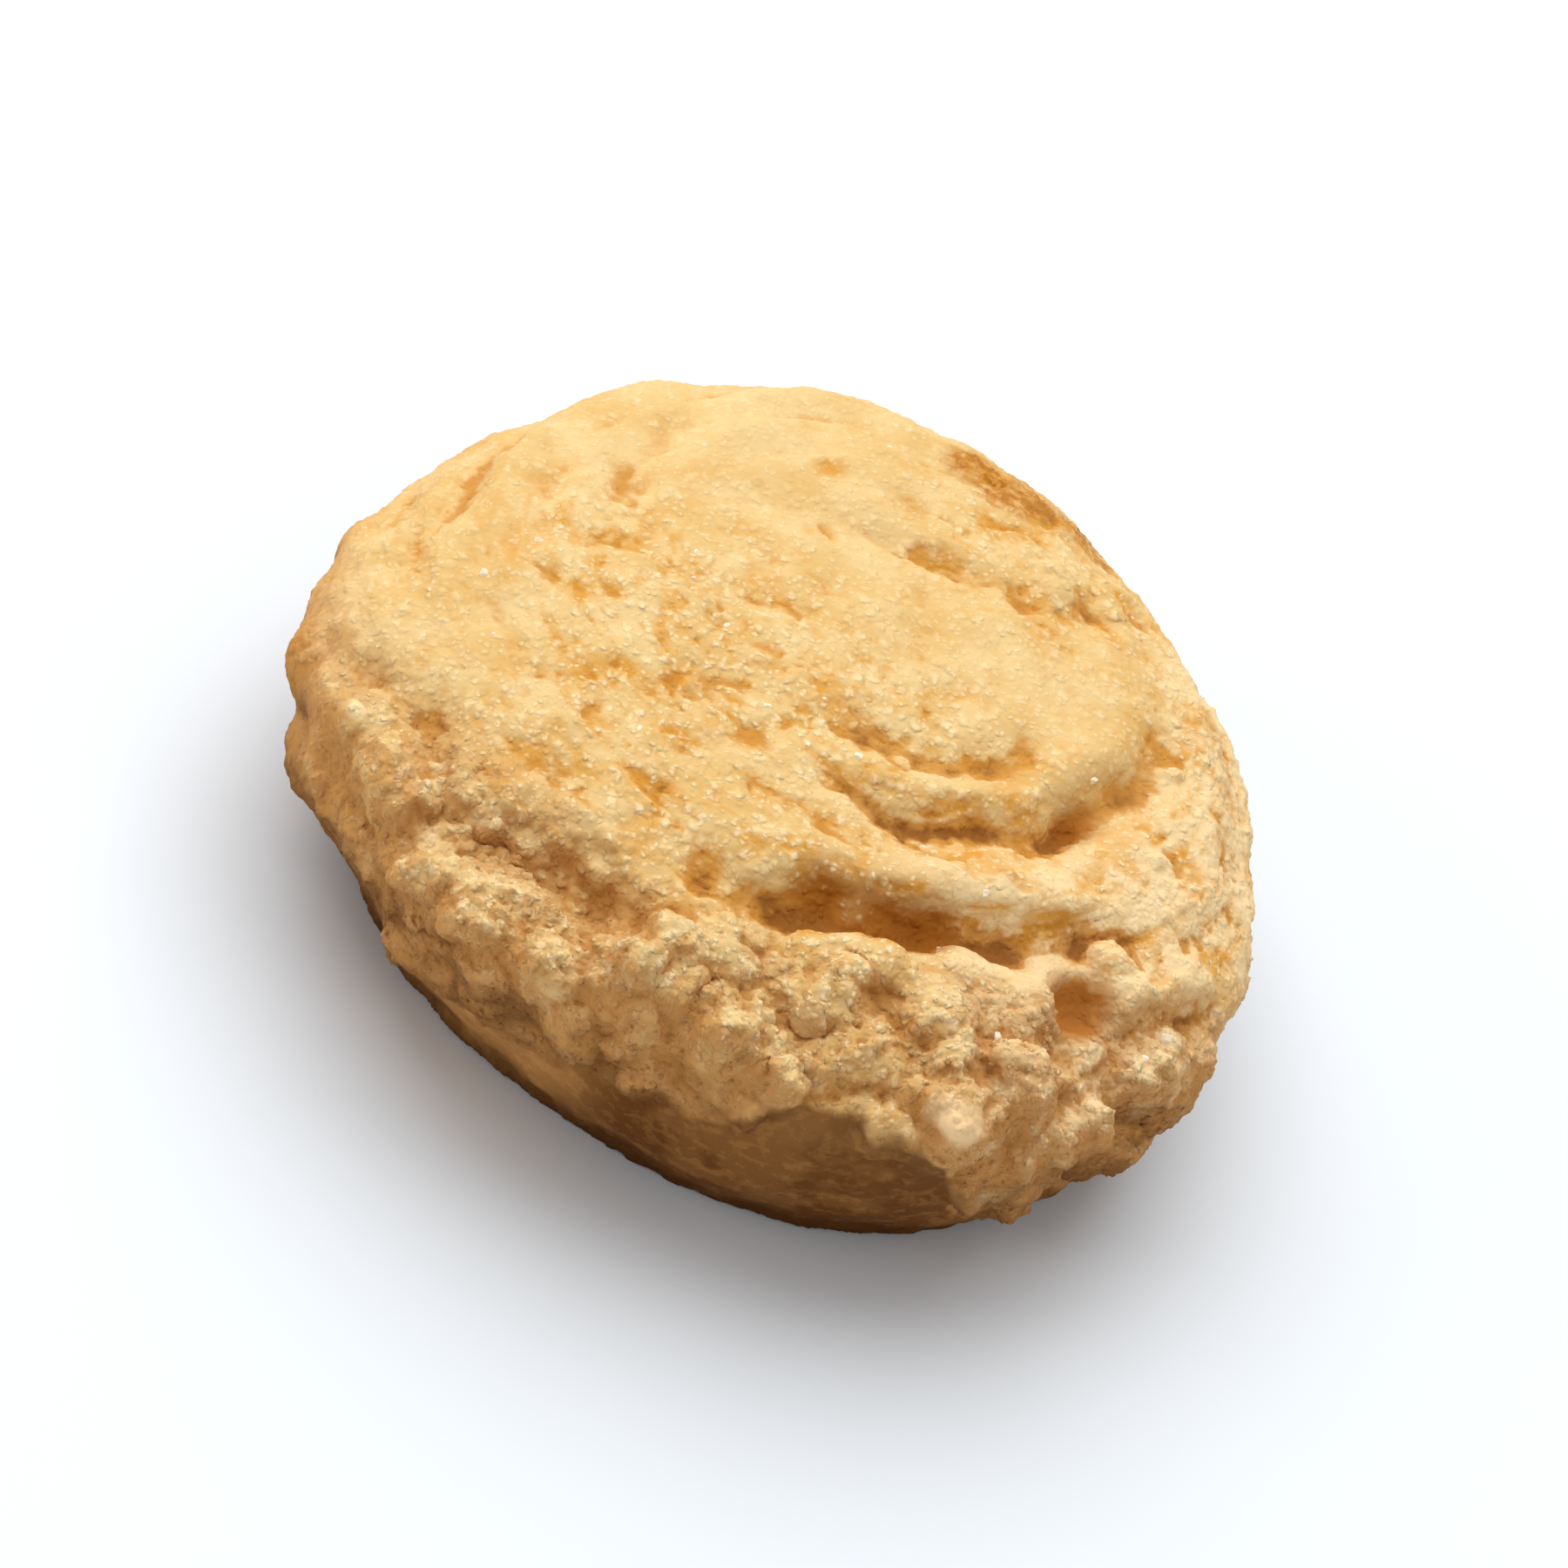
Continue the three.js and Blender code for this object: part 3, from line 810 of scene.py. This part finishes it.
def pale_grains(here, depth, raised, brown_clumps):
    """The share of pale grain: single grains, loose crumbs, whole clumps, and painted light on grains facing
    up.
    """
    pale = 0.8 * here.grain * here.grain_own.rise(0.4, 0.8)
    pale = pale + 0.9 * here.small_grain * here.small_own.rise(0.3, 0.7) + 0.6 * here.tone
    pale = pale * here.specks.rise(0.3, 0.5) * (0.5 + 0.5 * here.rough)
    pale = pale * (1 - here.wall) * depth.rise(0.3, 0) * (1 - 0.6 * brown_clumps)
    pale = pale + 0.5 * here.crag * here.clump * here.clump_own.rise(0.6, 0.85)
    # Painted light: grains that stand out and face up are painted paler, those in hollows less pale.
    pale = pale * (1 + here.crag * (0.7 * raised - 0.15))
    return pale * (0.15 + 0.85 * here.facing_up.rise(0.3, 0.9))


def crag_colour(here, colour):
    """Tan slopes of painted shade, tan clumps, hollows and grooves of bake and painted shade, pale grains.
    """
    raised = (-here.hollow).rise(0.02, 0.25)
    # Painted shade: crag slopes that face away from up, and what does not stand out, are painted tan.
    slope_shade = here.crag * (here.facing_up.rise(0.85, 0.4) + 0.3 * (1 - raised))
    colour = blend_colours(slope_shade * noise(here.point, 1.6, 3).rise(0.2, 0.5) * 0.85, colour, SLOPE_TAN)
    brown_clumps = here.crag * here.clump_own.rise(0.55, 0.3)
    colour = blend_colours(brown_clumps * 0.45, colour, SLOPE_TAN)
    # Painted shade: the deeper a point lies, the more orange or tan, and deepest brown; partly the bake too.
    depth = (here.hollow + here.top * here.hollow) * (1 - 0.6 * here.top * (1 - here.rough))
    depth = depth + 1.5 * here.fine_hollow + 0.25 * (here.specks - 0.5)
    valley = blend_colours(here.crag, FURROW_ORANGE, VALLEY_TAN)
    colour = blend_colours(depth.rise(0.02, 0.32) * 0.85, colour, valley)
    colour = blend_colours(depth.rise(0.3, 0.7) * (0.8 - 0.5 * here.crag), colour, DEEP_SHADE_BROWN)
    # Painted shade, partly the bake: the groove bottoms are painted orange-brown.
    for at, radius in GROOVE_BOTTOMS:
        colour = blend_colours(spot(here.point, at, radius, 0.9) * 0.9, colour, GROOVE_BROWN)
    return blend_colours(pale_grains(here, depth, raised, brown_clumps), colour, GRAIN_PALE)


# %% [markdown]
# ### The wall, the foot and the marks
# The wall is brown, partly from the tray's heat and partly as painted shade, and all that faces down is
# painted brown as painted shade. Painted light makes the wall paler at the front left, and it is darkest at
# the foot. Last come the marks in known places: the orange pit, the cream almond, the toasted spots and one
# spot of painted shade under the left rim.

# %% Colour of the wall and the foot
WALL_AND_SHADE_BROWN = display(104, 59, 16)
FOOT_BROWN = display(84, 48, 12)
# The side where the wall is painted paler, as painted light from the left.
LIT_WALL_SIDE = -135


def wall_colour(here, colour):
    """Brown of bake and painted shade, tan flecks, painted light on one side, and darker at the foot."""
    # The wall brown is partly the bake and partly painted shade.
    colour = blend_colours(here.wall.rise(0.2, 0.8) * 0.9, colour, WALL_AND_SHADE_BROWN)
    # Painted shade: what faces down is painted brown.
    shade_facing_down = here.facing_up.rise(0.3, -0.4) * here.baked_height.rise(9, 6)
    colour = blend_colours(shade_facing_down * 0.7, colour, WALL_AND_SHADE_BROWN)
    # Painted light: the wall is painted paler at the front left, where more light falls.
    lit_side = here.wall * near_side(here.x, here.y, LIT_WALL_SIDE, 30) * 0.72
    flecks = here.wall * (0.2 * here.mottle.rise(0.45, 0.6) + 0.18 * here.specks.rise(0.5, 0.62))
    colour = blend_colours(lit_side + flecks, colour, SLOPE_TAN)
    foot = (here.z + here.mottle + here.specks).rise(3.4, 0.9)
    return blend_colours(foot * 0.9, colour, FOOT_BROWN)


# %% Colour of the pit, the almond and the toasted spots
PIT_ORANGE = display(180, 113, 42)
ALMOND_CREAM = display(252, 216, 164)
TOASTED = display(168, 100, 28)
# The place and the radius of each, in mm: three toasted spots on the far rim, and last a spot of painted
# shade under the left rim.
TOAST_AND_SHADE_SPOTS = [
    ((1.4, 14.9, 10.4), 1.6), ((3.6, 14.4, 10.6), 2.2), ((6.4, 14.4, 10), 1.9), ((-16.6, -5.5, 6.8), 2.0),
]


def marks_colour(here, colour):
    """The marks that lie in known places, one of them a spot of painted shade."""
    colour = blend_colours(here.in_pit, colour, PIT_ORANGE)
    colour = blend_colours(here.almond * 0.95, colour, ALMOND_CREAM)
    # Toasted spots, and one spot of painted shade under the left rim, painted orange and dark brown.
    toast_and_shade = sum(spot(here.point, at, radius) for at, radius in TOAST_AND_SHADE_SPOTS)
    warm = (0.3 * here.mottle + 0.7 * here.specks).rise(0.35, 0.5)
    colour = blend_colours(toast_and_shade * warm * 0.8, colour, FURROW_ORANGE)
    dark = (0.5 * here.dashes + 0.5 * here.specks).rise(0.46, 0.56)
    return blend_colours(toast_and_shade * dark * 0.65, colour, TOASTED)


# %% Put the two materials together
DOUGH_SHINE = 0.08
SUGAR_WHITE = display(255, 242, 216)


def dough_material():
    material, tree, shader = new_material("baked_dough", Specular_IOR_Level=DOUGH_SHINE)
    here = surface_here(tree)
    colour = marks_colour(here, wall_colour(here, crag_colour(here, top_colour(here))))
    tree.links.new(colour.socket, shader.inputs["Base Color"])
    tree.links.new((0.6 + 0.3 * here.specks).socket, shader.inputs["Roughness"])
    fine_grain = 0.09 * here.grain * (0.3 + here.grain_own)
    fine_grain = fine_grain + 0.05 * here.small_grain * (0.4 + here.small_own) + 0.05 * here.specks
    strength = 0.45 + 0.25 * here.rough + 0.3 * here.crag - 0.3 * here.wall
    strength = strength * (1 - 0.7 * here.almond) * (1 - 0.7 * here.in_pit)
    inputs = {"Strength": 1.0, "Distance": MM, "Height": fine_grain * strength}
    bump = add_node(tree, "ShaderNodeBump", {}, inputs)
    tree.links.new(bump.socket, shader.inputs["Normal"])
    return material


def sugar_material():
    material, tree, shader = new_material("sugar", Base_Color=SUGAR_WHITE)
    tree.links.new((0.15 + 0.3 * noise(object_point(tree), 0.3)).socket, shader.inputs["Roughness"])
    return material


dough = dough_material()
for piece, material in ((crust, dough), (crumbs, dough), (sugar, sugar_material())):
    piece.data.materials.clear()
    piece.data.materials.append(material)
    print(piece.name, "is finished with", material.name, "of", len(material.node_tree.nodes), "nodes")

# %% [markdown]
# ## Floor, light and camera
# The cookie lies on a plain white floor. One large soft light from above and behind brightens its top and
# leaves its front wall in shade, and two weak ones fill the right and the left side. A sun would cast
# hard shadows, so all three are square lamps. The camera looks down at 43 degrees through a long lens and
# is turned by 25 degrees, as in the photograph.

# %% Floor
FLOOR_WIDTH = 4
FLOOR_GAP = 0.03
FLOOR_WHITE = (0.87, 0.93, 0.99, 1)

bpy.ops.object.select_all(action="DESELECT")
bpy.ops.mesh.primitive_plane_add(size=FLOOR_WIDTH)
floor = bpy.context.active_object
floor.name = "floor"
floor.location.z = solid_low.z - FLOOR_GAP * MM
floor.data.materials.append(new_material("floor_white", Base_Color=FLOOR_WHITE, Roughness=0.9)[0])
floor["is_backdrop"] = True
print("floor:", FLOOR_WIDTH, "m wide")

# %% Lights
# The direction to each lamp, its distance and width in metres, and its power in watts.
LAMPS = {
    "key": ((-0.22, 0.48, 0.85), 0.6, 0.85, 4.74),
    "fill_right": ((0.9, -0.35, 0.35), 0.7, 0.4, 0.4),
    "fill_left": ((-0.9, -0.45, 0.35), 0.7, 0.4, 0.75),
}
ROOM_TINT = (1.0, 0.96, 0.92, 1)
ROOM_LIGHT = 0.41

middle = (solid_low + solid_high) / 2
for name, (towards, distance, width, power) in LAMPS.items():
    light = bpy.data.lights.new(name, "AREA")
    light.shape = "SQUARE"
    light.size = width
    light.energy = power
    lamp = bpy.data.objects.new(name, light)
    bpy.context.scene.collection.objects.link(lamp)
    direction = Vector(towards).normalized()
    lamp.location = middle + direction * distance
    lamp.rotation_euler = direction.to_track_quat("Z", "Y").to_euler()
    print(name, power, "W, at", [round(value, 2) for value in lamp.location])
world = bpy.data.worlds.new("studio")
world.use_nodes = True
world.node_tree.nodes["Background"].inputs[0].default_value = ROOM_TINT
world.node_tree.nodes["Background"].inputs[1].default_value = ROOM_LIGHT
bpy.context.scene.world = world
bpy.context.scene.view_settings.view_transform = "Standard"

# %% Camera
CAMERA_ELEVATION = 43
CAMERA_ROLL = 25
CAMERA_DISTANCE = 0.42
FRAME_WIDTH = 56 * MM
SENSOR_WIDTH = 36

camera_data = bpy.data.cameras.new("camera")
camera_data.sensor_width = SENSOR_WIDTH
camera_data.lens = SENSOR_WIDTH * CAMERA_DISTANCE / FRAME_WIDTH
camera_data.clip_start = 0.01
camera = bpy.data.objects.new("camera", camera_data)
bpy.context.scene.collection.objects.link(camera)
elevation = math.radians(CAMERA_ELEVATION)
backwards = Vector((0, -math.cos(elevation), math.sin(elevation)))
camera.location = middle + backwards * CAMERA_DISTANCE
level = (-backwards).to_track_quat("-Z", "Y")
camera.rotation_euler = (level @ Quaternion((0, 0, 1), math.radians(CAMERA_ROLL))).to_euler()
bpy.context.scene.camera = camera
print("camera:", round(camera_data.lens), "mm lens")

# %% [markdown]
# ## Join the part
# Each piece rides with the one body of the part, and the crust stands for the exact solid. The sizes of the
# solid and of the finished cookie are gathered side by side, and the finished size and how far it reaches
# beyond the solid are printed.

# %% Join the pieces to the part
for piece in (crust, crumbs, sugar):
    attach(piece, "root")
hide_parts("cookie")
finished_low, finished_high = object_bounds()
sizes = {"solid": [list(solid_low), list(solid_high)], "finished": [list(finished_low), list(finished_high)]}
print("finished, mm:", in_mm(finished_high - finished_low))
print("beyond the solid, mm:", in_mm(solid_low - finished_low), in_mm(finished_high - solid_high))
